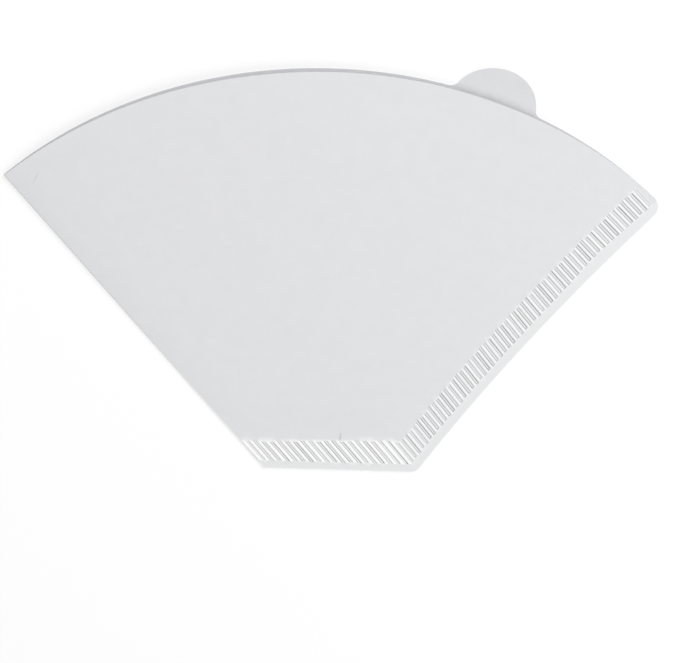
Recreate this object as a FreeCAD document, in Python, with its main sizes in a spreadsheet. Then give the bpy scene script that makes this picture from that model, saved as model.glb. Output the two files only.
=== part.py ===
"""A flat, folded cone filter of crimped paper, one sheet, in millimetres.

The sheet is folded once, along the left side.  Its two plies are crimped together along
the right side and the bottom, and open along the arc at the top.  It lies on its back ply:
+X is from the fold to the crimped side, +Y from the narrow bottom to the mouth, +Z up.
"""
import FreeCAD, Part
import math
import os
import Sketcher

SIZES = {
    # outline of the flat filter
    "mouth_width": 180.0,           # from one end of the mouth's arc to the other
    "shoulder_height": 91.7,        # from the bottom edge to the two ends of the arc
    "mouth_radius": 132.3,          # of the arc
    "bottom_left": 16.5,            # bottom corner at the fold, from the middle of the mouth
    "bottom_right": 29.1,           # bottom corner at the crimped side, from the same middle
    "seam_radius": 665.0,           # the crimped side is a little hollow
    "bottom_corner_round": 4.0,
    "shoulder_round": 1.8,
    # paper
    "paper": 0.18,                  # thickness of one ply
    "fold_gap": 0.16,               # clear space inside the fold
    "bottom_gap": 0.10,             # clear space between the plies above the bottom crimp
    "mouth_gap": 2.4,               # clear space in the middle of the mouth
    # crimped band
    "edge_margin": 3.1,             # plain paper outside the ridges
    "ridge_length": 6.9,            # across the band
    "inner_margin": 3.6,            # pressed flat inside the ridges
    "fold_margin": 0.7,             # from the fold to the first ridge
    "shoulder_drop": 4.2,           # from the end of the arc down to the last ridge
    "ridge_pitch": 1.9,
    "ridge_width": 1.05,
    "ridge_rise": 0.20,
    "groove_width": 0.62,           # pressed into the back, under each ridge
    "groove_depth": 0.15,
    "ridge_slant": 40.0,            # from the bottom edge to the line across the ridges
    # half-round tab on the back ply
    "tab_radius": 11.8,
    "tab_inset": 2.7,               # its centre is this far inside the arc
    "tab_turn": 18.0,               # from the middle of the mouth towards the crimped side
    "tab_root_round": 2.6,
}

OVERLAP = 1.0                       # how far the pouch runs into the crimped land
REACH = 12.0                        # how far the pouch and its cutter run past the mouth
NEAR = 0.01                         # two points closer than this are the same corner
SETTLING_PASSES = 20                # to find where the slanted end of the ridges meets an arc


def make_sheet(doc):
    """Write the driving sizes into a spreadsheet, one alias each."""
    sheet = doc.addObject("Spreadsheet::Sheet", "sizes")
    for row, (name, value) in enumerate(SIZES.items(), start=1):
        sheet.set(f"A{row}", name.replace("_", " "))
        sheet.set(f"B{row}", str(value))
        sheet.setAlias(f"B{row}", name)
    doc.recompute()
    return sheet


def origin_plane(body, role):
    """Return the body's own origin plane with that role."""
    return next(item for item in body.Origin.OriginFeatures if item.Role == role)


class Drawing:
    """A sketch on one of the body's origin planes, with its sizes bound to the sheet."""

    def __init__(self, body, name, role="XY_Plane"):
        self.sketch = body.newObject("Sketcher::SketchObject", name)
        self.sketch.AttachmentSupport = [(origin_plane(body, role), "")]
        self.sketch.MapMode = "FlatFace"

    def turn(self, axis, rule):
        """Turn the sketch about an axis by an expression.  This comes before any shift."""
        self.sketch.AttachmentOffset = FreeCAD.Placement(
            FreeCAD.Vector(), FreeCAD.Rotation(FreeCAD.Vector(*axis), 1.0))
        self.sketch.setExpression("AttachmentOffset.Rotation.Angle", rule)

    def shift(self, axis, rule):
        """Shift the sketch along x, y or z by an expression."""
        self.sketch.setExpression(f"AttachmentOffset.Base.{axis}", rule)

    def value(self, rule):
        """Work out an expression as a plain number."""
        result = self.sketch.evalExpression(rule)
        return float(getattr(result, "Value", result))

    def bind(self, kind, parts, rule):
        """Add one dimension and bind it to an expression."""
        index = self.sketch.addConstraint(Sketcher.Constraint(kind, *parts, self.value(rule)))
        self.sketch.setExpression(f"Constraints[{index}]", rule)

    def tie(self, kind, *parts):
        """Add one constraint that has no size."""
        self.sketch.addConstraint(Sketcher.Constraint(kind, *parts))

    def pin(self, curve, end, across, up):
        """Hold a point of a curve at two expressions, measured from the sketch's origin."""
        self.bind("DistanceX", (-1, 1, curve, end), across)
        self.bind("DistanceY", (-1, 1, curve, end), up)

    def line(self, start, end):
        """Add a straight line and return its number."""
        ends = (FreeCAD.Vector(*spot, 0) for spot in (start, end))
        return self.sketch.addGeometry(Part.LineSegment(*ends), False)

    def arc(self, centre, start, end, construction=False):
        """Add an anticlockwise arc about a centre and return its number."""
        circle = Part.Circle(FreeCAD.Vector(*centre, 0), FreeCAD.Vector(0, 0, 1), math.dist(centre, start))
        first = math.atan2(start[1] - centre[1], start[0] - centre[0])
        last = math.atan2(end[1] - centre[1], end[0] - centre[0])
        if last <= first:
            last += 2 * math.pi
        return self.sketch.addGeometry(Part.ArcOfCircle(circle, first, last), construction)

    def close(self, ring):
        """Join curves into a closed outline.  Each is its number, its first end and its last end."""
        for (number, _, last), (following, first, _) in zip(ring, ring[1:] + ring[:1]):
            self.tie("Coincident", number, last, following, first)

    def polygon(self, points):
        """Add a closed outline of straight lines, each corner held by two expressions."""
        spots = [(self.value(across), self.value(up)) for across, up in points]
        lines = [self.line(*pair) for pair in zip(spots, spots[1:] + spots[:1])]
        self.close([(number, 1, 2) for number in lines])
        for number, point in zip(lines, points):
            self.pin(number, 1, *point)


# Expressions for the centres of the two large arcs, the widths along the crimp and the fold.
MOUTH_CENTRE = "(sizes.shoulder_height - sqrt(sizes.mouth_radius ^ 2 - (sizes.mouth_width / 2) ^ 2))"
SEAM_RUN = "(sizes.mouth_width / 2 - sizes.bottom_right)"
SEAM_CHORD = f"sqrt({SEAM_RUN} ^ 2 + sizes.shoulder_height ^ 2)"
SEAM_DEPTH = f"sqrt(sizes.seam_radius ^ 2 - ({SEAM_RUN} ^ 2 + sizes.shoulder_height ^ 2) / 4)"
SEAM_X = (f"((sizes.mouth_width / 2 + sizes.bottom_right) / 2"
          f" + {SEAM_DEPTH} * sizes.shoulder_height / {SEAM_CHORD})")
SEAM_Y = f"(sizes.shoulder_height / 2 - {SEAM_DEPTH} * {SEAM_RUN} / {SEAM_CHORD})"
BAND_DEPTH = "(sizes.edge_margin + sizes.ridge_length)"
LAND_WIDTH = f"({BAND_DEPTH} + sizes.inner_margin)"
MOUTH_TOP = f"({MOUTH_CENTRE} + sizes.mouth_radius)"
FOLD_RADIUS = "(sizes.paper + sizes.fold_gap / 2)"
FOLD_LEAN = "atan((sizes.mouth_width / 2 - sizes.bottom_left) / sizes.shoulder_height)"
POUCH_LOW = f"({LAND_WIDTH} - {OVERLAP})"
POUCH_HIGH = f"({MOUTH_TOP} + {REACH})"
RIDGE_SPAN = ("(sizes.mouth_width / 2 + sizes.bottom_left) * cos(sizes.ridge_slant * 1 deg)"
              " + sizes.shoulder_height * sin(sizes.ridge_slant * 1 deg)")


def fold_x(up):
    """Expression for the fold's place at a height given as an expression."""
    slope = "(sizes.mouth_width / 2 - sizes.bottom_left) / sizes.shoulder_height"
    return f"(-sizes.bottom_left - {slope} * ({up}))"


def ply_left(up):
    """Expression for where a ply meets the round fold, at a height."""
    return f"({fold_x(up)} + {FOLD_RADIUS} / cos({FOLD_LEAN}))"


def ply_right(up):
    """Expression for where the pouch runs into the crimp's land, at a height."""
    inset = f"({LAND_WIDTH} - {OVERLAP}) * {SEAM_CHORD} / sizes.shoulder_height"
    return f"(sizes.bottom_right + {SEAM_RUN} * {up} / sizes.shoulder_height - {inset})"


def seam_x(drawing, away, up):
    """Number for the place of a line at some distance inside the seam's edge, at a height."""
    radius = drawing.value(f"sizes.seam_radius + {away}")
    across = drawing.value(SEAM_X)
    rise = up - drawing.value(SEAM_Y)
    return across - math.sqrt(radius ** 2 - rise ** 2)


def crimp_outline(drawing, outer, inner, left, top, slanted):
    """Draw the closed L that follows the bottom and the seam, between two distances inside them.

    Its upper end is level, or slanted along the ridges.
    """
    low = drawing.value(outer)
    high = drawing.value(inner)
    corner = (seam_x(drawing, outer, low), low)
    elbow = (seam_x(drawing, inner, high), high)
    start = (drawing.value(f"{fold_x(outer)} + {left}"), low)
    heel = (drawing.value(f"{fold_x(inner)} + {left}"), high)
    end_outer = (seam_x(drawing, outer, drawing.value(top)), drawing.value(top))
    end_inner = (seam_x(drawing, inner, end_outer[1]), end_outer[1])
    slant = math.radians(drawing.value("sizes.ridge_slant"))
    if slanted:
        for _ in range(SETTLING_PASSES):
            climb = (end_outer[0] - end_inner[0]) / math.tan(slant)
            end_inner = (seam_x(drawing, inner, end_outer[1] + climb), end_outer[1] + climb)
    centre = (drawing.value(SEAM_X), drawing.value(SEAM_Y))

    bottom = drawing.line(start, corner)
    seam = drawing.arc(centre, end_outer, corner)
    end = drawing.line(end_outer, end_inner)
    seam_inside = drawing.arc(centre, end_inner, elbow)
    bottom_inside = drawing.line(elbow, heel)
    side = drawing.line(heel, start)

    drawing.close([(bottom, 1, 2), (seam, 2, 1), (end, 1, 2), (seam_inside, 1, 2),
                   (bottom_inside, 1, 2), (side, 1, 2)])
    drawing.tie("Horizontal", bottom)
    drawing.tie("Horizontal", bottom_inside)
    drawing.tie("Coincident", seam, 3, seam_inside, 3)
    drawing.pin(seam, 3, SEAM_X, SEAM_Y)
    drawing.bind("Radius", (seam,), f"sizes.seam_radius + {outer}")
    drawing.bind("Radius", (seam_inside,), f"sizes.seam_radius + {inner}")
    drawing.pin(bottom, 1, f"{fold_x(outer)} + {left}", outer)
    drawing.pin(side, 1, f"{fold_x(inner)} + {left}", inner)
    drawing.bind("DistanceY", (-1, 1, end, 1), top)
    if slanted:
        drawing.bind("Angle", (end,), "90 deg + sizes.ridge_slant * 1 deg")
    else:
        drawing.tie("Horizontal", end)


def slot(body, name, level, depth, width, shift):
    """Cut one long slot upwards from a level, along the ridges and right through the band."""
    drawing = Drawing(body, f"{name}_outline")
    drawing.turn((0, 0, 1), "sizes.ridge_slant * 1 deg")
    drawing.shift("x", "-sizes.bottom_left")
    drawing.shift("z", level)
    half = f"({width}) / 2"
    reach = "(sizes.bottom_left + sizes.bottom_right)"
    drawing.polygon([(f"{shift} - {half}", f"-{reach}"), (f"{shift} + {half}", f"-{reach}"),
                     (f"{shift} + {half}", reach), (f"{shift} - {half}", reach)])
    cut = body.newObject("PartDesign::Pocket", name)
    cut.Profile = drawing.sketch
    cut.Reversed = True
    cut.setExpression("Length", depth)
    cut.Refine = False
    body.Document.recompute()
    return cut


def ridged_band(doc):
    """The band of ridges: a thick L, slotted on top and grooved underneath at one pitch."""
    body = doc.addObject("PartDesign::Body", "crimp_band")
    shape = Drawing(body, "band_outline")
    crimp_outline(shape, "sizes.edge_margin", BAND_DEPTH, "sizes.fold_margin",
                  "(sizes.shoulder_height - sizes.shoulder_drop)", True)
    band = body.newObject("PartDesign::Pad", "band")
    band.Profile = shape.sketch
    band.setExpression("Length", "2 * sizes.paper + sizes.ridge_rise")
    band.Refine = False
    doc.recompute()

    valley = slot(body, "valley", "2 * sizes.paper", "sizes.ridge_rise",
                  "sizes.ridge_pitch - sizes.ridge_width", "0")
    groove = slot(body, "groove", "0", "sizes.groove_depth", "sizes.groove_width",
                  "sizes.ridge_pitch / 2")
    row = body.newObject("PartDesign::LinearPattern", "ridge_row")
    row.Originals = [valley, groove]
    row.Direction = (valley.Profile[0], ["H_Axis"])
    row.Mode = "Spacing"
    row.setExpression("Offset", "sizes.ridge_pitch")
    row.setExpression("Occurrences", f"floor(({RIDGE_SPAN}) / sizes.ridge_pitch) + 1")
    row.Refine = False
    body.Tip = row
    doc.recompute()
    return body


def crimp_land(body):
    """The pressed margins on both sides of the ridges, two plies thick."""
    shape = Drawing(body, "land_outline")
    crimp_outline(shape, "0", LAND_WIDTH, "0", f"(sizes.shoulder_height + {REACH})", False)
    crimp_outline(shape, "sizes.edge_margin", BAND_DEPTH, "sizes.fold_margin",
                  "(sizes.shoulder_height - sizes.shoulder_drop)", True)
    land = body.newObject("PartDesign::Pad", "land")
    land.Profile = shape.sketch
    land.setExpression("Length", "2 * sizes.paper")
    land.Refine = False
    body.Document.recompute()


def back_ply(body):
    """The flat back ply between the fold and the crimp, past the mouth."""
    drawing = Drawing(body, "back_outline")
    drawing.polygon([(ply_left(POUCH_LOW), POUCH_LOW), (ply_right(POUCH_LOW), POUCH_LOW),
                     (ply_right(POUCH_HIGH), POUCH_HIGH), (ply_left(POUCH_HIGH), POUCH_HIGH)])
    pad = body.newObject("PartDesign::Pad", "back_ply")
    pad.Profile = drawing.sketch
    pad.setExpression("Length", "sizes.paper")
    pad.Refine = False
    body.Document.recompute()


def fold(body):
    """The round fold: half a tube of paper, drawn on an upright plane square to the fold."""
    drawing = Drawing(body, "fold_outline", "XZ_Plane")
    drawing.turn((0, 1, 0), FOLD_LEAN)
    drawing.shift("x", fold_x(POUCH_LOW))
    drawing.shift("z", f"-{POUCH_LOW}")
    wall = drawing.value("sizes.paper")
    radius = drawing.value(FOLD_RADIUS)
    outer = drawing.arc((radius, radius), (radius, 2 * radius), (radius, 0))
    inner = drawing.arc((radius, radius), (radius, 2 * radius - wall), (radius, wall))
    low = drawing.line((radius, 0), (radius, wall))
    high = drawing.line((radius, 2 * radius), (radius, 2 * radius - wall))
    drawing.close([(outer, 1, 2), (low, 1, 2), (inner, 2, 1), (high, 2, 1)])
    drawing.tie("Vertical", low)
    drawing.tie("Vertical", high)
    drawing.tie("Vertical", outer, 3, outer, 1)
    drawing.tie("Vertical", outer, 3, outer, 2)
    drawing.tie("Coincident", outer, 3, inner, 3)
    drawing.pin(outer, 3, FOLD_RADIUS, FOLD_RADIUS)
    drawing.bind("Radius", (outer,), FOLD_RADIUS)
    drawing.bind("Radius", (inner,), "sizes.fold_gap / 2")
    pad = body.newObject("PartDesign::Pad", "fold")
    pad.Profile = drawing.sketch
    pad.Reversed = True
    pad.setExpression("Length", f"({POUCH_HIGH} - {POUCH_LOW}) / cos({FOLD_LEAN})")
    pad.Refine = False
    body.Document.recompute()


def arch(drawing, right, left, lift, gap):
    """Draw an arch from the crimp over a gap to the fold, lifted by an expression."""
    crest = f"({left} + {right}) / 2"
    points = ((right, lift), (crest, f"({lift} + {gap})"), (left, f"({lift} + sizes.fold_gap)"))
    spots = [FreeCAD.Vector(drawing.value(across), drawing.value(up), 0) for across, up in points]
    curve = drawing.sketch.addGeometry(Part.Arc(*spots), False)
    top = drawing.sketch.addGeometry(Part.Point(spots[1]), True)
    drawing.pin(curve, 1, *points[0])
    drawing.pin(top, 1, *points[1])
    drawing.pin(curve, 2, *points[2])
    drawing.tie("PointOnObject", top, 1, curve)
    return curve, (spots[0].x, spots[0].y), (spots[2].x, spots[2].y)


def front_section(body, name, up, gap):
    """Draw the front ply where an upright plane crosses it: an arch, one paper thick."""
    drawing = Drawing(body, name, "XZ_Plane")
    drawing.shift("z", f"-({up})")
    under, under_right, under_left = arch(drawing, ply_right(up), ply_left(up), "sizes.paper", gap)
    over, over_right, over_left = arch(drawing, ply_right(up), ply_left(up), "(2 * sizes.paper)", gap)
    right = drawing.line(under_right, over_right)
    left = drawing.line(under_left, over_left)
    drawing.close([(under, 1, 2), (left, 1, 2), (over, 2, 1), (right, 2, 1)])
    return drawing.sketch


def front_ply(body):
    """The front ply: it arches from the fold to the crimp, and more so towards the mouth."""
    ply = body.newObject("PartDesign::AdditiveLoft", "front_ply")
    ply.Profile = front_section(body, "front_low", POUCH_LOW, "sizes.bottom_gap")
    ply.Sections = [front_section(body, "front_high", POUCH_HIGH, "sizes.mouth_gap")]
    ply.Ruled = True
    ply.Refine = False
    body.Document.recompute()


def cut_mouth(body):
    """Cut both plies along the arc."""
    drawing = Drawing(body, "mouth_outline")
    centre = (0.0, drawing.value(MOUTH_CENTRE))
    radius = drawing.value("sizes.mouth_radius")
    side = drawing.value(f"sizes.mouth_width / 2 + {REACH}")
    far = drawing.value(f"{MOUTH_TOP} + 3 * {REACH}")
    wide = drawing.value("sizes.mouth_width")
    low = centre[1] + math.sqrt(radius ** 2 - side ** 2)
    mouth = drawing.arc(centre, (side, low), (-side, low))
    corners = [(-side, low), (-wide, low), (-wide, far), (wide, far), (wide, low), (side, low)]
    lines = [drawing.line(*pair) for pair in zip(corners, corners[1:])]
    drawing.close([(number, 1, 2) for number in (mouth, *lines)])
    for number, way in zip(lines, ("Horizontal", "Vertical", "Horizontal", "Vertical", "Horizontal")):
        drawing.tie(way, number)
    drawing.pin(mouth, 3, "0", MOUTH_CENTRE)
    drawing.bind("Radius", (mouth,), "sizes.mouth_radius")
    drawing.bind("DistanceX", (-1, 1, mouth, 1), f"sizes.mouth_width / 2 + {REACH}")
    drawing.bind("DistanceX", (-1, 1, mouth, 2), f"-(sizes.mouth_width / 2 + {REACH})")
    drawing.pin(lines[2], 1, "-sizes.mouth_width", f"{MOUTH_TOP} + 3 * {REACH}")
    drawing.bind("DistanceX", (-1, 1, lines[2], 2), "sizes.mouth_width")
    cut = body.newObject("PartDesign::Pocket", "mouth")
    cut.Profile = drawing.sketch
    cut.Reversed = True
    cut.Type = "ThroughAll"
    cut.Refine = False
    body.Document.recompute()


def round_corners(body):
    """Round the two corners of the crimped side."""
    sheet = body.Document.getObject("sizes")
    corners = {
        "bottom_corner": ("sizes.bottom_corner_round", (sheet.bottom_right, 0)),
        "shoulder_corner": ("sizes.shoulder_round", (sheet.mouth_width / 2, sheet.shoulder_height)),
    }
    for name, (radius, spot) in corners.items():
        found = [f"Edge{number}" for number, edge in enumerate(body.Shape.Edges, start=1)
                 if all(math.dist((v.X, v.Y), spot) < NEAR for v in edge.Vertexes)]
        before = body.Tip
        fillet = body.newObject("PartDesign::Fillet", name)
        fillet.Base = (before, found)
        fillet.setExpression("Radius", radius)
        fillet.Refine = False
        body.Tip = fillet
        body.Document.recompute()


def tab(body):
    """The half-round tab on the back ply, with a small round at each side of its root."""
    drawing = Drawing(body, "tab_outline")
    turn = drawing.value("90 - sizes.tab_turn")
    mouth_radius = drawing.value("sizes.mouth_radius")
    hub_radius = mouth_radius - drawing.value("sizes.tab_inset")
    radius = drawing.value("sizes.tab_radius")
    root = drawing.value("sizes.tab_root_round")
    centre = (0.0, drawing.value(MOUTH_CENTRE))

    def at(distance, degrees):
        angle = math.radians(degrees)
        return (centre[0] + distance * math.cos(angle), centre[1] + distance * math.sin(angle))

    hub = at(hub_radius, turn)
    spread = math.degrees(math.acos(((mouth_radius + root) ** 2 + hub_radius ** 2 - (radius + root) ** 2)
                                    / (2 * (mouth_radius + root) * hub_radius)))
    roots = [at(mouth_radius + root, turn + side * spread) for side in (-1, 1)]
    feet = [at(mouth_radius, turn + side * spread) for side in (-1, 1)]
    touch = [tuple(h + (r - h) * radius / (radius + root) for h, r in zip(hub, spot)) for spot in roots]

    rim = drawing.arc(centre, feet[0], feet[1], True)
    head = drawing.arc(hub, touch[0], touch[1])
    right = drawing.arc(roots[0], touch[0], feet[0])
    left = drawing.arc(roots[1], feet[1], touch[1])
    foot = drawing.line(feet[0], feet[1])
    drawing.pin(rim, 3, "0", MOUTH_CENTRE)
    drawing.bind("Radius", (rim,), "sizes.mouth_radius")
    drawing.pin(head, 3, "(sizes.mouth_radius - sizes.tab_inset) * sin(sizes.tab_turn * 1 deg)",
                f"{MOUTH_CENTRE} + (sizes.mouth_radius - sizes.tab_inset) * cos(sizes.tab_turn * 1 deg)")
    drawing.bind("Radius", (head,), "sizes.tab_radius")
    drawing.bind("Radius", (right,), "sizes.tab_root_round")
    drawing.bind("Radius", (left,), "sizes.tab_root_round")
    drawing.tie("Tangent", head, 1, right, 1)
    drawing.tie("Tangent", head, 2, left, 2)
    drawing.tie("Tangent", rim, 1, right, 2)
    drawing.tie("Tangent", rim, 2, left, 1)
    drawing.tie("Coincident", foot, 1, right, 2)
    drawing.tie("Coincident", foot, 2, left, 1)
    pad = body.newObject("PartDesign::Pad", "tab")
    pad.Profile = drawing.sketch
    pad.setExpression("Length", "sizes.paper")
    pad.Refine = False
    body.Document.recompute()


def join_band(body, band):
    """Set the ridged band into the land around it."""
    join = body.newObject("PartDesign::Boolean", "crimp")
    join.Type = "Fuse"
    join.setObjects([band])
    join.Refine = True
    body.Document.recompute()


def build_filter(doc):
    """Make the filter as one body, and set its origin under the middle of its outline."""
    body = doc.addObject("PartDesign::Body", "paper_filter")
    body.Label = "paper_filter"
    crimp_land(body)
    back_ply(body)
    fold(body)
    front_ply(body)
    cut_mouth(body)
    round_corners(body)
    tab(body)
    join_band(body, ridged_band(doc))
    highest = (f"({MOUTH_CENTRE} + (sizes.mouth_radius - sizes.tab_inset) * cos(sizes.tab_turn * 1 deg)"
               " + sizes.tab_radius)")
    body.setExpression("Placement.Base.y", f"-{highest} / 2")
    doc.recompute()
    return body


def check(doc, body):
    """Stop if any feature failed or the solid isn't one valid piece."""
    for item in doc.Objects:
        if {"Invalid", "Error"} & set(item.State):
            raise RuntimeError(f"{item.Name} failed: {item.State}")
    shape = body.Shape
    if shape.isNull() or not shape.isValid() or len(shape.Solids) != 1:
        raise RuntimeError(f"{body.Label} isn't one valid solid")


def main():
    doc = FreeCAD.newDocument("coffee_filter")
    make_sheet(doc)
    body = build_filter(doc)
    check(doc, body)
    os.makedirs("parts", exist_ok=True)
    body.Shape.exportStep(f"parts/{body.Label}.step")
    box = body.Shape.optimalBoundingBox(False)
    print(f"{body.Label}: {box.XLength:.2f} x {box.YLength:.2f} x {box.ZLength:.2f} mm,"
          f" volume {body.Shape.Volume:.0f} mm3, {len(body.Shape.Faces)} faces")


main()
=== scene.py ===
"""Looks for the flat, folded cone filter of crimped paper.

The filter is one folded sheet, modelled as one closed mesh: a back ply, a front ply, the
round fold between them and their cut edges. Sizes are millimetres in the flat filter's own
plane, x from the middle of the mouth and y from the bottom edge, and become metres last.
Each ply's points are laid out flat first, dense on the crimp, and formulas give their heights.
"""
import math
from collections import namedtuple

import bpy
import numpy as np
from mathutils import Euler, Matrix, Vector
from mathutils.geometry import delaunay_2d_cdt


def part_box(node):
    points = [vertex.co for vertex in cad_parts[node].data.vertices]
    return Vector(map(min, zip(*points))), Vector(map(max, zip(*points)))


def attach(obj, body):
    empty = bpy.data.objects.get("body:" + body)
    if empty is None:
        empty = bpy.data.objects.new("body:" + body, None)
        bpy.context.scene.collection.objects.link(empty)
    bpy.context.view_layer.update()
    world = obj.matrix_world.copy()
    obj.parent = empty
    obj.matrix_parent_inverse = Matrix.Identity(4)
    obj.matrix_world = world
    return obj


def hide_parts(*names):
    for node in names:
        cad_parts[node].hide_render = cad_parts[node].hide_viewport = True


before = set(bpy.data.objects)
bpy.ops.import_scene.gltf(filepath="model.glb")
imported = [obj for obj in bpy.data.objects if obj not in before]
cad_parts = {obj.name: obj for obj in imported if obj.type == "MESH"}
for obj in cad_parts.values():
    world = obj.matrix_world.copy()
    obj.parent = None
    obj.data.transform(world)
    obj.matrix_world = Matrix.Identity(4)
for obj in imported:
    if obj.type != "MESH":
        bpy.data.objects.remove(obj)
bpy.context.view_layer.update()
NODE_LOW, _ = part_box("paper_filter")
MM = 0.001
TINY = 1e-6

# Outline of the flat filter
MOUTH_WIDTH = -2 * NODE_LOW[0] / MM
BOTTOM_Y = NODE_LOW[1] / MM
SHOULDER_HEIGHT = 91.7
MOUTH_RADIUS = 132.3
BOTTOM_LEFT = 16.5
BOTTOM_RIGHT = 29.1
BOTTOM_TILT = 0.75                  # the bottom is cut this much higher at the crimped side
SEAM_RADIUS = 665.0
BOTTOM_CORNER_ROUND = 4.0
SHOULDER_ROUND = 4.2
TAB_RADIUS = 11.8
TAB_INSET = 2.7
TAB_TURN = math.radians(18.0)
TAB_ROOT_ROUND = 2.6

# Paper
PAPER = 0.18
FOLD_STEPS = 6                      # of the half-round fold
FOLD_INSET = 0.28                   # the plies end this far inside the fold's outermost line
EDGE_HOLLOW = 0.08                  # the fold and the bottom edge are this far from straight
RIM = 0.36                          # width of the painted highlight along the edges
FOLD_HIGHLIGHT_FADE = (0.3, 0.7)               # the fold's painted highlight fades over these distances inside the fold
FOLD_HIGHLIGHT_HEIGHTS = (5.0, 60.0)      # and over these heights
SEAM_HIGHLIGHT_SHARE = 0.5                # of the bottom's painted highlight
SHARP_EDGE = math.radians(50.0)

# Heights of the plies
REST_LIFT = 0.05                    # of the back ply off the floor
REST_RIPPLE = 0.05                  # unevenness of the back ply
REST_REACH = 30.0                   # from the mouth's edge to where that unevenness is full
TAB_CURL = 1.3
TAB_CURL_POWER = 1.3
HAIRLINE = 0.02                     # between the plies where they are pressed together
LOOSE_GAP = 0.06                    # added where they are not
OFF_CRIMP = (-0.6, 3.5)             # the plies part over these distances from the slots' inner ends
MOUTH_GAP = 2.3
MOUTH_POWER = 1.4                   # the front ply's rise towards the mouth follows this power
FOLD_OPEN = 0.45                    # how far the fold springs open at the mouth
FOLD_OPEN_SHARE = 0.5               # of the way across the pouch
FOLD_SPRING = 0.24                  # how far the front ply springs up just inside the fold
SPRING_REACH = 2.6
SPRING_OFF_CRIMP = 14.0             # from the slots' inner ends to where the spring is full
FRONT_RIPPLE = 0.20                 # unevenness of the front ply
RIPPLE_WAVES = 7
RIPPLE_LENGTHS = (38.0, 95.0)
RIPPLE_HEIGHT = 4.0                 # about the most that the waves add up to
BACK_SEED = 3
FRONT_SEED = 11

# Crimped band: pressed slots with raised stripes between them
SIDE_MARGIN = 2.95                  # from the edge to the slots
BOTTOM_MARGIN = 2.75
MARGIN_SWELL = 0.65                 # the side margin's extra width below the shoulder
SWELL_HEIGHT = 76.0
SWELL_REACH = 8.0
SIDE_INNER = 9.85                   # from the edge to the inner ends of the slots
BOTTOM_INNER_FOLD = 9.5
BOTTOM_INNER_CORNER = 11.2
CORNER_BLEND = 3.0                  # the bottom's sizes turn into the side's within this distance
FOLD_MARGIN = 0.5
SHOULDER_DROP = 1.75                # from the shoulder down to the last slot
OUTER_FADE = (-0.5, 0.3)            # the crimp fades over these distances at the slots' outer ends,
INNER_FADE = (-0.2, 0.6)            # at their inner ends,
FOLD_FADE = (-0.3, 0.5)             # at the fold
SHOULDER_FADE = (-0.1, 0.5)         # and at the shoulder
MARGIN_FADE = (-0.4, 0.2)           # the plain margin's painted light fades over these at the slots' outer ends
OUTER_END = (0.25, 0.16)            # how far in from the band's limit a slot ends, and how unevenly
INNER_END = (-0.10, 0.24)
FIRST_STRIPE = 1.04                 # from the fold's low end to the first raised stripe
FIRST_PITCH = 1.878
PITCH_LOSS = 0.00252                # each slot is this much closer to the next one
SLANT = math.radians(39.0)          # from the bottom edge to the line square to the slots
FAN = math.radians(7.5)             # how much the slots turn towards the shoulder
FAN_START = 70.0
FAN_END = 131.0
STRIPE_RISE = 0.24
STRIPE_LEVEL = (0.87, 0.13)         # of that rise, and how uneven it is from stripe to stripe
SLOT_HALF = 0.33
SLOT_WALL = 0.20
SLOT_SINK = 0.04
SLOT_TONE = 0.42                    # of a slot's floor, between plain paper and a stripe, in the crimp's painted light
SIDE_TONE = 0.64                    # of a stripe along the side, where it catches less light

# Creases round the slots, darkened with painted shade
CREASE_HALF = 0.10
CREASE_SHIFT = 0.02                 # outside the slot's edge
LEFT_CREASE = (0.80, 0.20)          # strength, and how uneven it is from slot to slot
RIGHT_CREASE = (0.66, 0.34)
FAINTEST = 0.35                     # share of that strength at the fold
FAINT_START = 1.5                   # the creases gain strength between these two stations
FAINT_END = 5.5
CORNER_LOSS = 0.55                  # share lost on the left of the slots at the corner,
CORNER_STATION = 36.5               # round this station
CORNER_REACH = 6.5
INNER_LOSS = 0.6                    # share lost at a slot's inner end
OUTER_LOSS = 0.25
END_TURN = (-0.05, 0.10)            # a crease turns from a slot's side to its end over this distance

# Spacing of the mesh's points
FOLD_STEP = 1.0
BOTTOM_STEP = 0.9
CORNER_STEP = 0.35
SEAM_STEP = 0.9
SHOULDER_STEP = 0.3
MOUTH_STEP = 1.1
TAB_STEP = 0.45
ACROSS_STEPS = (-0.92, -0.66, -0.46, -0.36, -0.27, -0.12, 0.12, 0.27, 0.36, 0.46, 0.66)
END_STEPS = (-0.50, -0.20, -0.07, 0.07, 0.20, 0.45)
ROWS = 6                            # of points along a slot between its ends
SLOT_REACH = 14.0                   # a slot's ends are looked for this far both ways from its middle
SLOT_SAMPLES = 141
BOTTOM_SAMPLES = 30                 # of the band's middle line along the bottom
SIDE_SAMPLES = 80                   # and along the side
FIELD_STEP = 2.4
FIELD_LOW = 0.7                     # height of the field's first row
FIELD_OUTSIDE = 1.3                 # from the field to the slots' outer ends
FIELD_INSIDE = 1.8                  # and to their inner ends
FIELD_FOLD = 1.2                    # and to the fold
MARGIN_START = 0.4                  # along the middle line, to the first point of the rows beside the crimp
MARGIN_FOLD = 0.8                   # from the fold to those rows
EDGE_CLEAR = 0.22                   # from the outline to any point inside it
FOLD_CLEAR = 0.25                   # more than that at the fold, for points on the slots
SAME_POINT = 1e-5                   # points nearer than this become one
TRIANGLES_INSIDE = 1                # the kind of result asked of delaunay_2d_cdt

# Rows that ease the spacing beside the crimp: outside or inside it, how far from it, and their step
MARGIN_ROWS = ((-1, 2.1, 0.9), (-1, 1.2, 0.7), (1, 1.4, 0.7))

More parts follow.
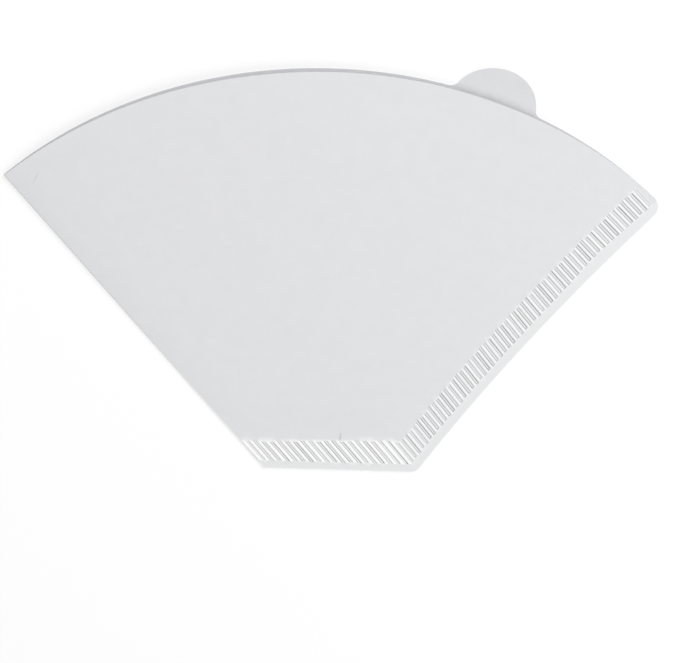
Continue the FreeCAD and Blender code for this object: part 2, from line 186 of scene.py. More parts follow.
# Small marks on the front: an upright crease above the bottom crimp and a faint scratch by the fold
Mark = namedtuple("Mark", "centre turn half_length half_width height darkness")
MARKS = (
    Mark((6.0, 12.2), math.radians(88.0), 1.5, 0.28, 0.16, 0.30),
    Mark((-81.3, 91.7), math.radians(61.5), 1.5, 0.30, -0.05, 0.16),
)
MARK_ROWS = np.linspace(-1.6, 1.6, 9)                           # of points, in half lengths
MARK_SIDES = np.array([-2.6, -1.4, -0.7, 0.0, 0.7, 1.4, 2.6])   # and in half widths

# Camera, as fitted to the photograph's outline of the front sheet
IMAGE_WIDTH_PX = 679
FOCAL_PX = 1800.0
SENSOR_MM = 36.0
CAMERA_TURN = tuple(math.radians(degrees) for degrees in (29.64, 2.05, -2.66))
SHEET_FROM_CAMERA_MM = (-6.31, -41.09, -535.83)

# Names in the record and the frame
BODY = "root"


def unit(vector):
    """Return a 2-D vector scaled to length one."""
    vector = np.asarray(vector, float)
    return vector / np.linalg.norm(vector)


# Corners and centres that follow from the outline's sizes
FOLD_LOW = np.array([-BOTTOM_LEFT, 0.0])
FOLD_HIGH = np.array([-MOUTH_WIDTH / 2, SHOULDER_HEIGHT])
SEAM_LOW = np.array([BOTTOM_RIGHT, BOTTOM_TILT])
SEAM_HIGH = np.array([MOUTH_WIDTH / 2, SHOULDER_HEIGHT])
MOUTH_CENTRE = np.array([0.0, SHOULDER_HEIGHT - math.sqrt(MOUTH_RADIUS ** 2 - (MOUTH_WIDTH / 2) ** 2)])
FOLD_ALONG = unit(FOLD_HIGH - FOLD_LOW)
FOLD_INWARD = np.array([FOLD_ALONG[1], -FOLD_ALONG[0]])
SEAM_ALONG = unit(SEAM_HIGH - SEAM_LOW)
SEAM_OUTWARD = np.array([SEAM_ALONG[1], -SEAM_ALONG[0]])
SEAM_HALF = np.linalg.norm(SEAM_HIGH - SEAM_LOW) / 2
SEAM_CENTRE = (SEAM_LOW + SEAM_HIGH) / 2 + SEAM_OUTWARD * math.sqrt(SEAM_RADIUS ** 2 - SEAM_HALF ** 2)
BOTTOM_ALONG = unit(SEAM_LOW - FOLD_LOW)
BOTTOM_UP = np.array([-BOTTOM_ALONG[1], BOTTOM_ALONG[0]])
TAB_HUB_RADIUS = MOUTH_RADIUS - TAB_INSET
TAB_CENTRE = MOUTH_CENTRE + TAB_HUB_RADIUS * np.array([math.sin(TAB_TURN), math.cos(TAB_TURN)])
ACROSS_SLOTS = np.array([math.cos(SLANT), math.sin(SLANT)])
ALONG_SLOTS = np.array([ACROSS_SLOTS[1], -ACROSS_SLOTS[0]])


def smooth(low, high, value):
    """Rise smoothly from 0 to 1 as value goes from low to high."""
    share = np.clip((value - low) / (high - low), 0.0, 1.0)
    return share * share * (3.0 - 2.0 * share)


def fade(limit, span, value):
    """Rise smoothly from 0 to 1 across a limit, over a span of values that starts and ends near it."""
    return smooth(limit + span[0], limit + span[1], value)


def lens(share):
    """Rise from 0 at both ends of a way to 1 in its middle."""
    return 4.0 * share * (1.0 - share)


def uneven(level, number, rate, phase):
    """A level and its unevenness, as a value that differs from one number to the next."""
    return level[0] + level[1] * np.sin(number * rate + phase)


def inside_fold(points):
    """Distance of points inside the fold's line."""
    return (points - FOLD_LOW) @ FOLD_INWARD


def inside_bottom(points):
    """Distance of points inside the bottom edge."""
    return (points - FOLD_LOW) @ BOTTOM_UP


def inside_seam(points):
    """Distance of points inside the crimped side's edge."""
    return np.linalg.norm(points - SEAM_CENTRE, axis=-1) - SEAM_RADIUS


def inside_mouth(points):
    """Distance of points inside the mouth's arc."""
    return MOUTH_RADIUS - np.linalg.norm(points - MOUTH_CENTRE, axis=-1)


# Crimp

def stripe_number(station):
    """Count of stripes up to a station, where whole numbers are the middles of stripes."""
    rest = FIRST_PITCH ** 2 - 2 * PITCH_LOSS * (station - FIRST_STRIPE)
    return (FIRST_PITCH - np.sqrt(rest)) / PITCH_LOSS


def stripe_station(number):
    """Station of a stripe's middle, or of a slot's middle for a number and a half."""
    return FIRST_STRIPE + FIRST_PITCH * number - PITCH_LOSS * number ** 2 / 2


def fan(station):
    """How far the slots have turned at a station across the band."""
    return FAN * smooth(FAN_START, FAN_END, station)


def middle_line():
    """Points on the middle line of the band, from the fold to the shoulder."""
    middle = (SIDE_MARGIN + SIDE_INNER) / 2
    heights = np.linspace(middle, SHOULDER_HEIGHT, SIDE_SAMPLES)
    across = SEAM_CENTRE[0] - np.sqrt((SEAM_RADIUS + middle) ** 2 - (heights - SEAM_CENTRE[1]) ** 2)
    seam = np.stack([across, heights], axis=1)
    start = FOLD_LOW + FOLD_ALONG * middle / FOLD_ALONG[1]
    share = np.linspace(0.0, 1.0, BOTTOM_SAMPLES)[:, None]
    bottom = start + (seam[0] - start) * share
    return np.concatenate([bottom[:-1], seam])


def middle_side(station):
    """Where the band's middle line is, along the slots, at each station."""
    offset = middle_line() - FOLD_LOW
    stations = offset @ ACROSS_SLOTS
    order = np.argsort(stations)
    return np.interp(station, stations[order], (offset @ ALONG_SLOTS)[order])


def slot_station(points):
    """How far along the row of slots each point is, with the slots' fan undone."""
    offset = points - FOLD_LOW
    station = offset @ ACROSS_SLOTS
    side = offset @ ALONG_SLOTS - middle_side(station)
    return station - side * np.tan(fan(station))


def band_depth(points):
    """Distance of points inside the crimped edge, the bottom or the seam, whichever is nearer."""
    return np.minimum(inside_bottom(points), inside_seam(points))


def by_bottom(points):
    """1 where the bottom is the nearer crimped edge and 0 where the seam is."""
    return smooth(-CORNER_BLEND, CORNER_BLEND, inside_seam(points) - inside_bottom(points))


def band_limits(points):
    """Depths of the slots' outer and inner ends."""
    low = by_bottom(points)
    swell = MARGIN_SWELL * np.exp(-((points[:, 1] - SWELL_HEIGHT) / SWELL_REACH) ** 2)
    outer = low * BOTTOM_MARGIN + (1.0 - low) * (SIDE_MARGIN + swell)
    along = np.clip((points[:, 0] + BOTTOM_LEFT) / (BOTTOM_LEFT + BOTTOM_RIGHT), 0.0, 1.0)
    inner = BOTTOM_INNER_FOLD + (BOTTOM_INNER_CORNER - BOTTOM_INNER_FOLD) * along
    return outer, low * inner + (1.0 - low) * SIDE_INNER


def slot_ends(points, number):
    """Depths of the two ends of a slot, which don't quite line up from slot to slot."""
    outer, inner = band_limits(points)
    low = outer + uneven(OUTER_END, number, rate=2.9, phase=1.0)
    return low, inner + uneven(INNER_END, number, rate=1.9, phase=0.0)


def on_band(points):
    """1 on the crimp's band and 0 off it, with soft ends."""
    outer, inner = band_limits(points)
    depth = band_depth(points)
    mask = fade(outer, OUTER_FADE, depth) * (1.0 - fade(inner, INNER_FADE, depth))
    mask = mask * fade(FOLD_MARGIN, FOLD_FADE, inside_fold(points))
    corner = SEAM_HIGH - SEAM_ALONG * SHOULDER_DROP - SEAM_OUTWARD * SIDE_MARGIN
    last = slot_station(corner[None, :])[0]
    return mask * (1.0 - fade(last, SHOULDER_FADE, slot_station(points)))


def slots(points):
    """Each point's slot: its number, the way across it, and how far outside its sides and two ends."""
    count = stripe_number(slot_station(points))
    number = np.floor(count)
    across = (count - number - 0.5) * (FIRST_PITCH - PITCH_LOSS * count)
    low, high = slot_ends(points, number)
    depth = band_depth(points)
    return number, across, np.abs(across) - SLOT_HALF, low - depth, depth - high


def stripes(points):
    """Share of the raised stripes between the slots, from 0 to 1."""
    away = np.max(slots(points)[2:], axis=0)
    stripe = np.floor(stripe_number(slot_station(points)) + 0.5)
    level = uneven(STRIPE_LEVEL, stripe, rate=1.7, phase=2.0)
    return smooth(0.0, SLOT_WALL, away) * level * on_band(points)


def creases(points):
    """Share of the thin creases round the slots, from 0 to 1, which sink a little and are darkened with
    painted shade.
    """
    number, across, beside, below, above = slots(points)
    away = np.maximum(beside, np.maximum(below, above))
    station = slot_station(points)
    corner = np.exp(-((station - CORNER_STATION) / CORNER_REACH) ** 2)
    left = uneven(LEFT_CREASE, number, rate=1.3, phase=0.4) * (1.0 - CORNER_LOSS * corner)
    right = uneven(RIGHT_CREASE, number, rate=2.1, phase=1.5)
    strength = np.where(across < 0.0, left, right)
    strength = strength * (FAINTEST + (1.0 - FAINTEST) * smooth(FAINT_START, FAINT_END, station))
    strength = strength * (1.0 - INNER_LOSS * smooth(*END_TURN, above - beside))
    strength = strength * (1.0 - OUTER_LOSS * smooth(*END_TURN, below - beside))
    line = np.exp(-((away - CREASE_SHIFT) / CREASE_HALF) ** 2)
    return line * strength * on_band(points)


def crimp_painted_light(points):
    """Painted light on the crimp, from plain paper at 0 to the brightest painted highlight on the stripes
    at 1.
    """
    tone = SLOT_TONE + (1.0 - SLOT_TONE) * stripes(points)
    return tone * on_band(points) * (SIDE_TONE + (1.0 - SIDE_TONE) * by_bottom(points))


def ridges(points):
    """Height of the crimp's relief in millimetres."""
    return STRIPE_RISE * stripes(points) - SLOT_SINK * creases(points)


# Small marks

def mark_ways(mark):
    """The ways along and across a mark."""
    along = np.array([math.cos(mark.turn), math.sin(mark.turn)])
    return along, np.array([-along[1], along[0]])


def mark_share(points, mark):
    """Share of one small mark: a narrow bump of height one, longer along its turn than across it."""
    along, across = mark_ways(mark)
    offset = points - np.array(mark.centre)
    lengths = (offset @ along) / mark.half_length
    widths = (offset @ across) / mark.half_width
    return np.exp(-lengths ** 2 - widths ** 2)


def mark_points():
    """A small grid of points round each mark."""
    points = []
    for mark in MARKS:
        along, across = mark_ways(mark)
        rows = MARK_ROWS[:, None, None] * mark.half_length * along
        grid = rows + MARK_SIDES[None, :, None] * mark.half_width * across
        points.append(np.array(mark.centre) + grid.reshape(-1, 2))
    return np.concatenate(points)


# Heights of the two plies

def ripple(points, seed):
    """Slow, shallow unevenness of the paper, between about -1 and 1."""
    total = np.zeros(len(points))
    source = np.random.default_rng(seed)
    for _ in range(RIPPLE_WAVES):
        angle, phase = source.uniform(0.0, 2 * math.pi, 2)
        length = source.uniform(*RIPPLE_LENGTHS)
        way = np.array([math.cos(angle), math.sin(angle)])
        total += np.sin(points @ way * 2 * math.pi / length + phase)
    return total / RIPPLE_HEIGHT


def rise_to_mouth(points):
    """0 at the crimped bottom and 1 at the mouth's edge."""
    above = np.clip(inside_bottom(points) - SIDE_INNER, 0.0, None)
    below = np.clip(inside_mouth(points), 0.0, None)
    return above / np.maximum(above + below, TINY)


def across_pouch(points):
    """0 at the fold and 1 at the crimp's inner line."""
    from_fold = np.clip(inside_fold(points), 0.0, None)
    from_seam = np.clip(inside_seam(points) - SIDE_INNER, 0.0, None)
    return from_fold / np.maximum(from_fold + from_seam, TINY)


def gap(points):
    """Clear space between the plies."""
    rise = rise_to_mouth(points)
    share = across_pouch(points)
    from_slots = band_depth(points) - band_limits(points)[1]
    off_crimp = smooth(*OFF_CRIMP, from_slots)
    fold = FOLD_OPEN * rise * (1.0 - smooth(0.0, FOLD_OPEN_SHARE, share))
    spring = FOLD_SPRING * (1.0 - np.exp(-np.clip(inside_fold(points), 0.0, None) / SPRING_REACH))
    spring = spring * smooth(0.0, SPRING_OFF_CRIMP, from_slots)
    body = (MOUTH_GAP * rise ** MOUTH_POWER * lens(share) + fold + spring) * off_crimp
    return HAIRLINE + LOOSE_GAP * off_crimp + body


def back_level(points):
    """Height of the back ply's underside."""
    inside = inside_mouth(points)
    lift = REST_LIFT + REST_RIPPLE * ripple(points, BACK_SEED) * smooth(0.0, REST_REACH, inside)
    tab = TAB_CURL * smooth(0.0, TAB_RADIUS, -inside) ** TAB_CURL_POWER
    return np.maximum(lift, 0.0) + ridges(points) + tab


def front_level(points):
    """Height of the front ply's upper side."""
    ripples = FRONT_RIPPLE * ripple(points, FRONT_SEED) * rise_to_mouth(points) * lens(across_pouch(points))
    marks = sum(mark.height * mark_share(points, mark) for mark in MARKS)
    return back_level(points) + 2 * PAPER + gap(points) + ripples + marks


# Outline of a ply

def arc_points(centre, radius, first, last, step):
    """Points along an arc, from one angle to the other."""
    count = max(2, int(abs(last - first) * radius / step) + 1)
    angles = np.linspace(first, last, count)
    return centre + radius * np.stack([np.cos(angles), np.sin(angles)], axis=1)


def angle_of(vector):
    """Angle of a 2-D vector."""
    return math.atan2(vector[1], vector[0])


def rounded_bottom_corner():
    """The round between the bottom edge and the seam's edge."""
    radius = BOTTOM_CORNER_ROUND
    start = FOLD_LOW + BOTTOM_UP * radius - SEAM_CENTRE
    along = start @ BOTTOM_ALONG
    reach = -along - math.sqrt(along ** 2 - start @ start + (SEAM_RADIUS + radius) ** 2)
    centre = SEAM_CENTRE + start + BOTTOM_ALONG * reach
    return arc_points(centre, radius, angle_of(-BOTTOM_UP), angle_of(SEAM_CENTRE - centre), CORNER_STEP)


def rounded_shoulder():
    """The small round between the seam's edge and the mouth's arc."""
    radius = SHOULDER_ROUND
    to_mouth = MOUTH_CENTRE - SEAM_CENTRE
    span = np.linalg.norm(to_mouth)
    seam_reach = SEAM_RADIUS + radius
    mouth_reach = MOUTH_RADIUS - radius
    along = (seam_reach ** 2 - mouth_reach ** 2 + span ** 2) / (2 * span)
    aside = math.sqrt(seam_reach ** 2 - along ** 2)
    way = unit(to_mouth)
    centre = SEAM_CENTRE + way * along + np.array([way[1], -way[0]]) * aside
    first = angle_of(SEAM_CENTRE - centre)
    last = angle_of(centre - MOUTH_CENTRE)
    return arc_points(centre, radius, first, last, SHOULDER_STEP)


def seam_edge(low, high):
    """Points along the seam's edge between two points on it."""
    first = angle_of(low - SEAM_CENTRE) % (2 * math.pi)
    last = angle_of(high - SEAM_CENTRE) % (2 * math.pi)
    return arc_points(SEAM_CENTRE, SEAM_RADIUS, first, last, SEAM_STEP)


def mouth_edge(start, end):
    """Points along the mouth's arc between two points on it."""
    return arc_points(MOUTH_CENTRE, MOUTH_RADIUS, angle_of(start - MOUTH_CENTRE),
                      angle_of(end - MOUTH_CENTRE), MOUTH_STEP)


def tab_edge():
    """Points round the tab, from its right foot on the mouth's arc to its left foot."""
    reach = MOUTH_RADIUS + TAB_ROOT_ROUND
    touch = TAB_RADIUS + TAB_ROOT_ROUND
    spread = math.acos((reach ** 2 + TAB_HUB_RADIUS ** 2 - touch ** 2) / (2 * reach * TAB_HUB_RADIUS))
    middle = math.pi / 2 - TAB_TURN
    roots = [MOUTH_CENTRE + reach * np.array([math.cos(middle + side * spread),
                                              math.sin(middle + side * spread)])
             for side in (-1, 1)]
    right = arc_points(roots[0], TAB_ROOT_ROUND, angle_of(MOUTH_CENTRE - roots[0]) % (2 * math.pi),
                       angle_of(TAB_CENTRE - roots[0]) % (2 * math.pi), TAB_STEP)
    head = arc_points(TAB_CENTRE, TAB_RADIUS, angle_of(roots[0] - TAB_CENTRE),
                      angle_of(roots[1] - TAB_CENTRE), TAB_STEP)
    left = arc_points(roots[1], TAB_ROOT_ROUND, angle_of(TAB_CENTRE - roots[1]),
                      angle_of(MOUTH_CENTRE - roots[1]), TAB_STEP)
    return np.concatenate([right, head[1:-1], left])


def hollow_line(start, end, inward, step):
    """Points along an edge that is a little hollow, so that no three of them are in line."""
    share = np.linspace(0.0, 1.0, int(np.linalg.norm(end - start) / step))[:, None]
    return start + (end - start) * share + inward * EDGE_HOLLOW * lens(share)


def step_to_mouth(point):
    """How far up the fold's line the mouth's arc is from a point."""
    offset = point - MOUTH_CENTRE
    along = offset @ FOLD_ALONG
    return -along + math.sqrt(along ** 2 - offset @ offset + MOUTH_RADIUS ** 2)


def fold_line():
    """Points down the fold's side, from the mouth to the bottom."""
    start = FOLD_HIGH + FOLD_INWARD * FOLD_INSET
    end = FOLD_LOW + FOLD_INWARD * FOLD_INSET
    start = start + FOLD_ALONG * step_to_mouth(start)
    end = end - FOLD_ALONG * end[1] / FOLD_ALONG[1]
    return hollow_line(start, end, FOLD_INWARD, FOLD_STEP)


def outline(with_tab):
    """A ply's outline, anticlockwise from the fold's top, and how many of its points are on the fold."""
    fold = fold_line()
    corner = rounded_bottom_corner()
    shoulder = rounded_shoulder()
    bottom = hollow_line(fold[-1], corner[0], BOTTOM_UP, BOTTOM_STEP)
    pieces = [bottom[1:], corner[1:], seam_edge(corner[-1], shoulder[0])[1:], shoulder[1:]]
    if with_tab:
        tab = tab_edge()
        pieces += [mouth_edge(shoulder[-1], tab[0])[1:-1], tab,
                   mouth_edge(tab[-1], fold[0])[1:-1]]
    else:
        pieces += [mouth_edge(shoulder[-1], fold[0])[1:-1]]
    return np.concatenate([fold, *pieces]), len(fold)


# Mesh

def slot_line(number, step):
    """A line along a slot, a step off its middle: a point on it, its way, and where its two ends are."""
    station = stripe_station(number + 0.5) + step
    middle = FOLD_LOW + ACROSS_SLOTS * station + ALONG_SLOTS * middle_side(station)
    way = ALONG_SLOTS + ACROSS_SLOTS * math.tan(fan(station))
    reach = np.linspace(-SLOT_REACH, SLOT_REACH, SLOT_SAMPLES)
    line = middle + way * reach[:, None]
    low, high = slot_ends(line, number)
    depth = band_depth(line)
    return middle, way, np.interp(0.0, low - depth, reach), np.interp(0.0, high - depth, reach)


def band_lines():
    """Lines of points laid along the slots, dense across their edges and at their ends."""
    last = stripe_number((SEAM_HIGH - FOLD_LOW) @ ACROSS_SLOTS)
    lines = []
    for number in range(-1, int(last) + 1):
        for step in ACROSS_STEPS:
            middle, way, outer_end, inner_end = slot_line(number, step)
            rows = np.linspace(inner_end + END_STEPS[-1], outer_end - END_STEPS[-1], ROWS + 2)[1:-1]
            ends = [outer_end - np.array(END_STEPS), inner_end + np.array(END_STEPS)]
            places = np.sort(np.concatenate([rows, *ends]))
            lines.append(middle + way * places[:, None])
    return lines


def field_points():
    """An even triangular field of points over the rest of the ply."""
    rows = np.arange(FIELD_LOW, MOUTH_RADIUS + TAB_RADIUS, FIELD_STEP * math.sqrt(3) / 2)
    points = []
    for number, height in enumerate(rows):
        start = -MOUTH_WIDTH / 2 + (number % 2) * FIELD_STEP / 2
        across = np.arange(start, MOUTH_WIDTH / 2, FIELD_STEP)
        points.append(np.stack([across, np.full(len(across), height)], axis=1))
    points = np.concatenate(points)
    depth = band_depth(points)
    outer, inner = band_limits(points)
    off_band = (depth > inner + FIELD_INSIDE) | (depth < outer - FIELD_OUTSIDE)
    return points[off_band & (inside_fold(points) > FIELD_FOLD)]


def margin_points():
    """Rows of points that ease the spacing between the crimp and the rest."""
    line = middle_line()
    tangent = np.gradient(line, axis=0)
    normal = np.stack([-tangent[:, 1], tangent[:, 0]], axis=1)
    normal /= np.linalg.norm(normal, axis=1)[:, None]
    arc = np.concatenate([[0.0], np.cumsum(np.linalg.norm(np.diff(line, axis=0), axis=1))])
    half = (SIDE_INNER - SIDE_MARGIN) / 2
    points = []
    for side, away, step in MARGIN_ROWS:
        stations = np.arange(MARGIN_START, arc[-1], step)
        spots = np.stack([np.interp(stations, arc, line[:, i]) for i in (0, 1)], axis=1)
        ways = np.stack([np.interp(stations, arc, normal[:, i]) for i in (0, 1)], axis=1)
        points.append(spots + ways * side * (half + away))
    points = np.concatenate(points)
    return points[inside_fold(points) > MARGIN_FOLD]


def rim_points(edge):
    """A row of points just inside the cut and folded edges, where the painted highlight along them ends."""
    way = np.roll(edge, -1, axis=0) - np.roll(edge, 1, axis=0)
    inward = np.stack([-way[:, 1], way[:, 0]], axis=1)
    return edge + inward / np.linalg.norm(inward, axis=1)[:, None] * RIM


def inside_outline(points, edge, clearance):
    """Which points lie inside a closed outline and away from it."""
    inside = np.zeros(len(points), bool)
    nearest = np.full(len(points), np.inf)
    for a, b in zip(edge, np.roll(edge, -1, axis=0)):
        crosses = (a[1] > points[:, 1]) != (b[1] > points[:, 1])
        with np.errstate(divide="ignore", invalid="ignore"):
            at = a[0] + (points[:, 1] - a[1]) * (b[0] - a[0]) / (b[1] - a[1])
        inside ^= crosses & (points[:, 0] < at)
        way = b - a
        share = np.clip(((points - a) @ way) / (way @ way), 0.0, 1.0)
        nearest = np.minimum(nearest, np.linalg.norm(points - a - share[:, None] * way, axis=1))
    return inside & (nearest > clearance)


def triangulate(edge, inner, line):
    """Triangulate the area inside an outline through its inner points and along their lines.

    Each inner point has the number of its line, or -1 where it is on none.
    """
    spots = np.concatenate([edge, inner])
    loop = list(range(len(edge)))
    joined = np.flatnonzero((line[1:] == line[:-1]) & (line[1:] >= 0)) + len(edge)
    along = [(int(start), int(start) + 1) for start in joined]
    found = delaunay_2d_cdt([Vector(spot) for spot in spots], along, [loop], TRIANGLES_INSIDE,
                             SAME_POINT, True)
    corners, _, triangles, sources = found[:4]
    place = np.zeros(len(spots), int)
    for new, olds in enumerate(sources):
        for old in olds:
            place[old] = new
    flat = np.array([tuple(corner) for corner in corners])
    triangles = np.array(triangles)
    kept = triangles[inside_outline(flat[triangles].mean(axis=1), edge, 0.0)]
    return flat, [tuple(map(int, face)) for face in kept], place[:len(edge)]


def ply(with_tab, levels):
    """Lay one ply out: its flat points, triangles, outline and the heights of its two sides."""
    edge, fold_count = outline(with_tab)
    lines = band_lines()
    loose = np.concatenate([field_points(), margin_points(), rim_points(edge), mark_points()])
    inner = np.concatenate([*lines, loose])
    line = np.concatenate([np.repeat(np.arange(len(lines)), [len(one) for one in lines]),
                           np.full(len(loose), -1)])
    clear = (line < 0) | (inside_fold(inner) > FOLD_INSET + FOLD_CLEAR)
    kept = inside_outline(inner, edge, EDGE_CLEAR) & clear
    flat, faces, loop = triangulate(edge, inner[kept], line[kept])
    return flat, faces, loop, fold_count, [level(flat) for level in levels]


def build_sheet():
    """Join both plies, the fold and the cut edges into one closed mesh."""
    verts = []
    faces = []
    plies = []
    levels = {
        "back": (back_level, lambda p: back_level(p) + PAPER),
        "front": (lambda p: front_level(p) - PAPER, front_level),
    }
    for name, with_tab in (("back", True), ("front", False)):
        flat, triangles, loop, fold_count, heights = ply(with_tab, levels[name])
        sides = []
        for upper, height in enumerate(heights):
            start = len(verts)
            verts.extend(map(tuple, np.column_stack([flat, height])))
            turned = triangles if upper else [face[::-1] for face in triangles]
            faces.extend(tuple(start + i for i in face) for face in turned)
            sides.append(start)
        low, high = sides
        ring = list(loop) + [loop[0]]
        for a, b in list(zip(ring, ring[1:]))[fold_count - 1:]:
            faces.append((low + a, low + b, high + b, high + a))
        plies.append((loop[:fold_count], sides))
    faces.extend(fold_faces(verts, plies))
    return verts, faces


def fold_rows(verts, back, front, limit):
    """Rows of vertices round the fold, from one line of vertices to the other, at most a limit outward."""
    rows = []
    for low, high in zip(back, front):
        bottom = Vector(verts[low])
        top = Vector(verts[high])
        half = (top.z - bottom.z) / 2
        outward = Vector((-FOLD_INWARD[0], -FOLD_INWARD[1], 0.0)) * min(half, limit)
        row = [low]
        for step in range(1, FOLD_STEPS):
            turn = math.pi * step / FOLD_STEPS
            spot = (bottom + top) / 2 + outward * math.sin(turn)
            spot.z -= half * math.cos(turn)
            row.append(len(verts))
            verts.append(tuple(spot))
        rows.append([*row, high])
    return rows


def strip_faces(rows, flip):
    """Faces between neighbouring rows of vertices, turned over if asked."""
    faces = []
    for one, two in zip(rows, rows[1:]):
        for i in range(len(one) - 1):
            face = (one[i], two[i], two[i + 1], one[i + 1])
            faces.append(face[::-1] if flip else face)
    return faces


def fold_faces(verts, plies):
    """The round fold: an outer and an inner half-round strip, closed at both ends."""
    (back_line, back_sides), (front_line, front_sides) = plies
    back_low, back_high = [[start + spot for spot in back_line] for start in back_sides]
    front_low, front_high = [[start + spot for spot in front_line] for start in front_sides]
    outer = fold_rows(verts, back_low, front_high, FOLD_INSET)
    inner = fold_rows(verts, back_high, front_low, FOLD_INSET - PAPER)
    ends = strip_faces([outer[0], inner[0]], True) + strip_faces([outer[-1], inner[-1]], False)
    return strip_faces(outer, False) + strip_faces(inner, True) + ends


def make_filter():
    """Make the filter's object, with attributes for the margin's painted light, the painted highlights on
    the crimp's stripes and along the edges, and the painted shade in the creases with the small marks'
    darkening.
    """
    verts, faces = build_sheet()
    spots = np.array(verts)
    flat = spots[:, :2]
    outer, _ = band_limits(flat)
    # painted highlight along the fold, the bottom and, fainter, the seam
    fold_highlight = (1.0 - smooth(*FOLD_HIGHLIGHT_FADE, inside_fold(flat))) * (1.0 - smooth(*FOLD_HIGHLIGHT_HEIGHTS, flat[:, 1]))
    bottom_highlight = 1.0 - smooth(0.0, RIM, inside_bottom(flat))
    seam_highlight = SEAM_HIGHLIGHT_SHARE * (1.0 - smooth(0.0, RIM, inside_seam(flat)))
    rim = np.maximum(bottom_highlight, np.maximum(fold_highlight, seam_highlight))
    upper = spots[:, 2] > front_level(flat) - PAPER / 2
    marked = upper * sum(mark.darkness * mark_share(flat, mark) for mark in MARKS)
    layers = {
        # painted light: the plain margin along the crimped edges is made lighter
        "margin_painted_light": 1.0 - fade(outer, MARGIN_FADE, band_depth(flat)),
        # painted highlight on the crimp's stripes and along the cut and folded edges
        "stripe": np.maximum(crimp_painted_light(flat), rim),
        # painted shade in the creases round the slots, and the small marks' darkening
        "crease_shade_and_marks": np.maximum(creases(flat), marked),
    }
    place = (spots + np.array([0.0, BOTTOM_Y, 0.0])) * MM
    mesh = bpy.data.meshes.new("paper_sheet")
    mesh.from_pydata([tuple(spot) for spot in place], [], faces)
    mesh.validate()
    for name, values in layers.items():
        layer = mesh.attributes.new(name, "FLOAT", "POINT")
        layer.data.foreach_set("value", values.astype(np.float32))
    mesh.polygons.foreach_set("use_smooth", [True] * len(mesh.polygons))
    mesh.set_sharp_from_angle(angle=SHARP_EDGE)
    sheet = bpy.data.objects.new("paper_sheet", mesh)
    bpy.context.collection.objects.link(sheet)
    return sheet


# Materials

# A tone is a place on a colour ramp and its colour
PAPER_TONES = ((0.30, (0.722, 0.725, 0.738)), (0.72, (0.742, 0.744, 0.756)))
FLOOR_TONES = ((0.2, (0.0, 0.0, 0.0)), (0.75, (0.48, 0.48, 0.48)))

# Attribute of the mesh, the colour it brings and how much of it
PAPER_LAYERS = (
    # painted light on the plain margin along the crimped edges
    ("margin_painted_light", (0.79, 0.795, 0.80, 1.0), 0.75),
    # painted highlight: the crimp's stripes and the bright line along the edges
    ("stripe", (0.95, 0.95, 0.95, 1.0), 1.0),
    # painted shade: the creases round the slots, and the small marks' darkening
    ("crease_shade_and_marks", (0.20, 0.20, 0.21, 1.0), 0.95),
)

MIX_SHARE, MIX_FIRST, MIX_SECOND = 0, 6, 7      # the Mix node's sockets for colours
MIX_RESULT = 2


def add(tree, kind, **inputs):
    """Add a shader node and set its inputs by name."""
    node = tree.nodes.new(kind)
    for name, value in inputs.items():
        node.inputs[name.replace("_", " ")].default_value = value
    return node


def maths(tree, operation):
    """Add a node that works one number out of two."""
    node = add(tree, "ShaderNodeMath")
    node.operation = operation
    return node


def ramp(tree, tones):
    """Add a colour ramp with two tones, each a position and a colour."""
    node = add(tree, "ShaderNodeValToRGB")
    for element, (position, colour) in zip(node.color_ramp.elements, tones):
        element.position = position
        element.color = (*colour, 1.0)
    return node


def paper_material():
    """Bleached filter paper: matt and finely fibrous, with painted light on the margin, painted highlights
    on the crimp and edges, and painted shade in the creases.
    """
    material = bpy.data.materials.new("filter_paper")
    material.use_nodes = True
    tree = material.node_tree
    shader = tree.nodes["Principled BSDF"]
    shader.inputs["Roughness"].default_value = 0.88
    shader.inputs["Specular IOR Level"].default_value = 0.25
    where = add(tree, "ShaderNodeTexCoord")

    cloud = add(tree, "ShaderNodeTexNoise", Scale=260.0, Detail=5.0, Roughness=0.62)
    fibre = add(tree, "ShaderNodeTexNoise", Scale=2600.0, Detail=3.0, Roughness=0.6)
    for texture in (cloud, fibre):
        tree.links.new(where.outputs["Object"], texture.inputs["Vector"])

    tone = ramp(tree, PAPER_TONES)
    tree.links.new(cloud.outputs["Fac"], tone.inputs["Fac"])

    colour = tone.outputs["Color"]
    for name, tint, share in PAPER_LAYERS:
        layer = add(tree, "ShaderNodeAttribute")
        layer.attribute_name = name
        amount = maths(tree, "MULTIPLY")
        amount.inputs[1].default_value = share
        tree.links.new(layer.outputs["Fac"], amount.inputs[0])
        mix = add(tree, "ShaderNodeMix")
        mix.data_type = "RGBA"
        mix.inputs[MIX_SECOND].default_value = tint
        tree.links.new(amount.outputs[0], mix.inputs[MIX_SHARE])
        tree.links.new(colour, mix.inputs[MIX_FIRST])
        colour = mix.outputs[MIX_RESULT]
    tree.links.new(colour, shader.inputs["Base Color"])

    coarse = add(tree, "ShaderNodeBump", Strength=0.07, Distance=0.00020)
    fine = add(tree, "ShaderNodeBump", Strength=0.22, Distance=0.00005)
    tree.links.new(cloud.outputs["Fac"], coarse.inputs["Height"])
    tree.links.new(fibre.outputs["Fac"], fine.inputs["Height"])
    tree.links.new(coarse.outputs["Normal"], fine.inputs["Normal"])
    tree.links.new(fine.outputs["Normal"], shader.inputs["Normal"])
    return material


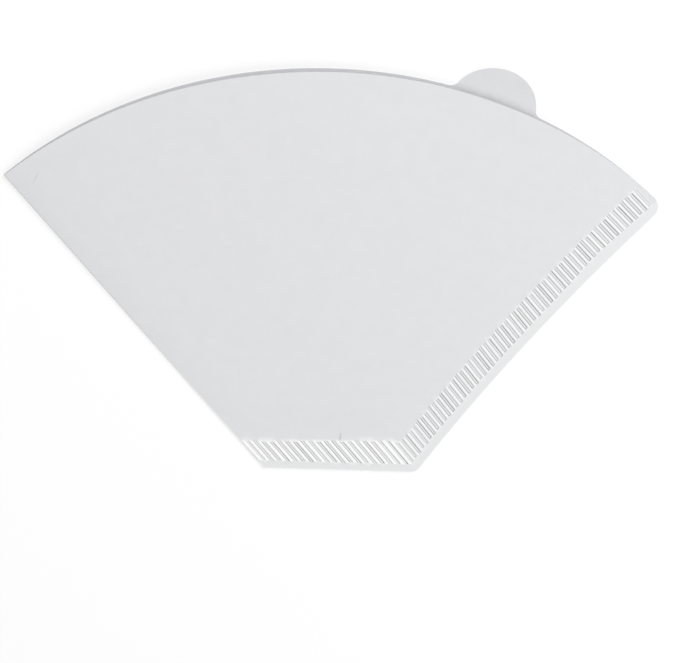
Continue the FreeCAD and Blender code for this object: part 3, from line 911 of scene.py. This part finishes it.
def floor_material():
    """A plain white floor that takes a soft shadow near the filter and glows white further off."""
    material = bpy.data.materials.new("white_floor")
    material.use_nodes = True
    tree = material.node_tree
    shader = tree.nodes["Principled BSDF"]
    shader.inputs["Roughness"].default_value = 1.0
    shader.inputs["Specular IOR Level"].default_value = 0.0
    shader.inputs["Emission Color"].default_value = (1.0, 1.0, 1.0, 1.0)
    where = add(tree, "ShaderNodeTexCoord")
    near = add(tree, "ShaderNodeTexGradient")
    near.gradient_type = "SPHERICAL"
    tree.links.new(where.outputs["Object"], near.inputs["Vector"])
    tint = ramp(tree, FLOOR_TONES)
    tree.links.new(near.outputs["Fac"], tint.inputs["Fac"])
    tree.links.new(tint.outputs["Color"], shader.inputs["Base Color"])
    glow = maths(tree, "SUBTRACT")
    glow.inputs[0].default_value = 1.0
    tree.links.new(tint.outputs["Color"], glow.inputs[1])
    tree.links.new(glow.outputs[0], shader.inputs["Emission Strength"])
    return material


# Stage

def make_floor():
    """A wide plain floor just under the sheet."""
    half = 3.0
    level = -0.03 * MM
    mesh = bpy.data.meshes.new("floor")
    corners = [(-half, -half, level), (half, -half, level), (half, half, level), (-half, half, level)]
    mesh.from_pydata(corners, [], [(0, 1, 2, 3)])
    floor = bpy.data.objects.new("floor", mesh)
    floor.data.materials.append(floor_material())
    bpy.context.collection.objects.link(floor)


def make_world():
    """A soft white surround: white where the camera sees it, gentler as a light."""
    world = bpy.data.worlds.new("studio")
    world.use_nodes = True
    tree = world.node_tree
    light = tree.nodes["Background"]
    light.inputs["Color"].default_value = (1.0, 1.0, 1.0, 1.0)
    light.inputs["Strength"].default_value = 0.60
    seen = add(tree, "ShaderNodeBackground", Color=(1.0, 1.0, 1.0, 1.0), Strength=1.0)
    rays = add(tree, "ShaderNodeLightPath")
    sight = rays.outputs["Is Camera Ray"]
    for kind in ("Is Glossy Ray", "Is Transmission Ray"):
        either = maths(tree, "MAXIMUM")
        tree.links.new(sight, either.inputs[0])
        tree.links.new(rays.outputs[kind], either.inputs[1])
        sight = either.outputs[0]
    mix = add(tree, "ShaderNodeMixShader")
    tree.links.new(sight, mix.inputs[0])
    tree.links.new(light.outputs[0], mix.inputs[1])
    tree.links.new(seen.outputs[0], mix.inputs[2])
    tree.links.new(mix.outputs[0], tree.nodes["World Output"].inputs["Surface"])
    bpy.context.scene.world = world


def make_lamp(name, place, size, power):
    """A soft square lamp aimed at the sheet, its power in watts."""
    data = bpy.data.lights.new(name, "AREA")
    data.size = size
    data.energy = power
    lamp = bpy.data.objects.new(name, data)
    lamp.location = place
    lamp.rotation_euler = (-Vector(place)).to_track_quat("-Z", "Y").to_euler()
    bpy.context.collection.objects.link(lamp)


def make_camera():
    """The photograph's view of the front sheet, taken here of the sheet lying down."""
    data = bpy.data.cameras.new("camera")
    data.sensor_width = SENSOR_MM
    data.lens = FOCAL_PX / IMAGE_WIDTH_PX * SENSOR_MM
    data.clip_start = 0.01
    data.clip_end = 20.0
    camera = bpy.data.objects.new("camera", data)
    turn = Euler(CAMERA_TURN, "XYZ").to_matrix().transposed()
    place = -(turn @ Vector(SHEET_FROM_CAMERA_MM)) + Vector((0.0, BOTTOM_Y, 0.0))
    camera.matrix_world = turn.to_4x4()
    camera.location = place * MM
    bpy.context.collection.objects.link(camera)
    bpy.context.scene.camera = camera


def main():
    """Build the filter, its stage and its camera."""
    sheet = make_filter()
    sheet.data.materials.append(paper_material())
    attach(sheet, BODY)
    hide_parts("paper_filter")
    make_floor()
    make_world()
    make_lamp("key", place=(0.55, 0.95, 0.75), size=0.7, power=9.5)
    make_lamp("fill", place=(0.9, -0.5, 1.2), size=1.0, power=5.4)
    make_camera()
    bpy.context.scene.view_settings.view_transform = "Standard"


main()
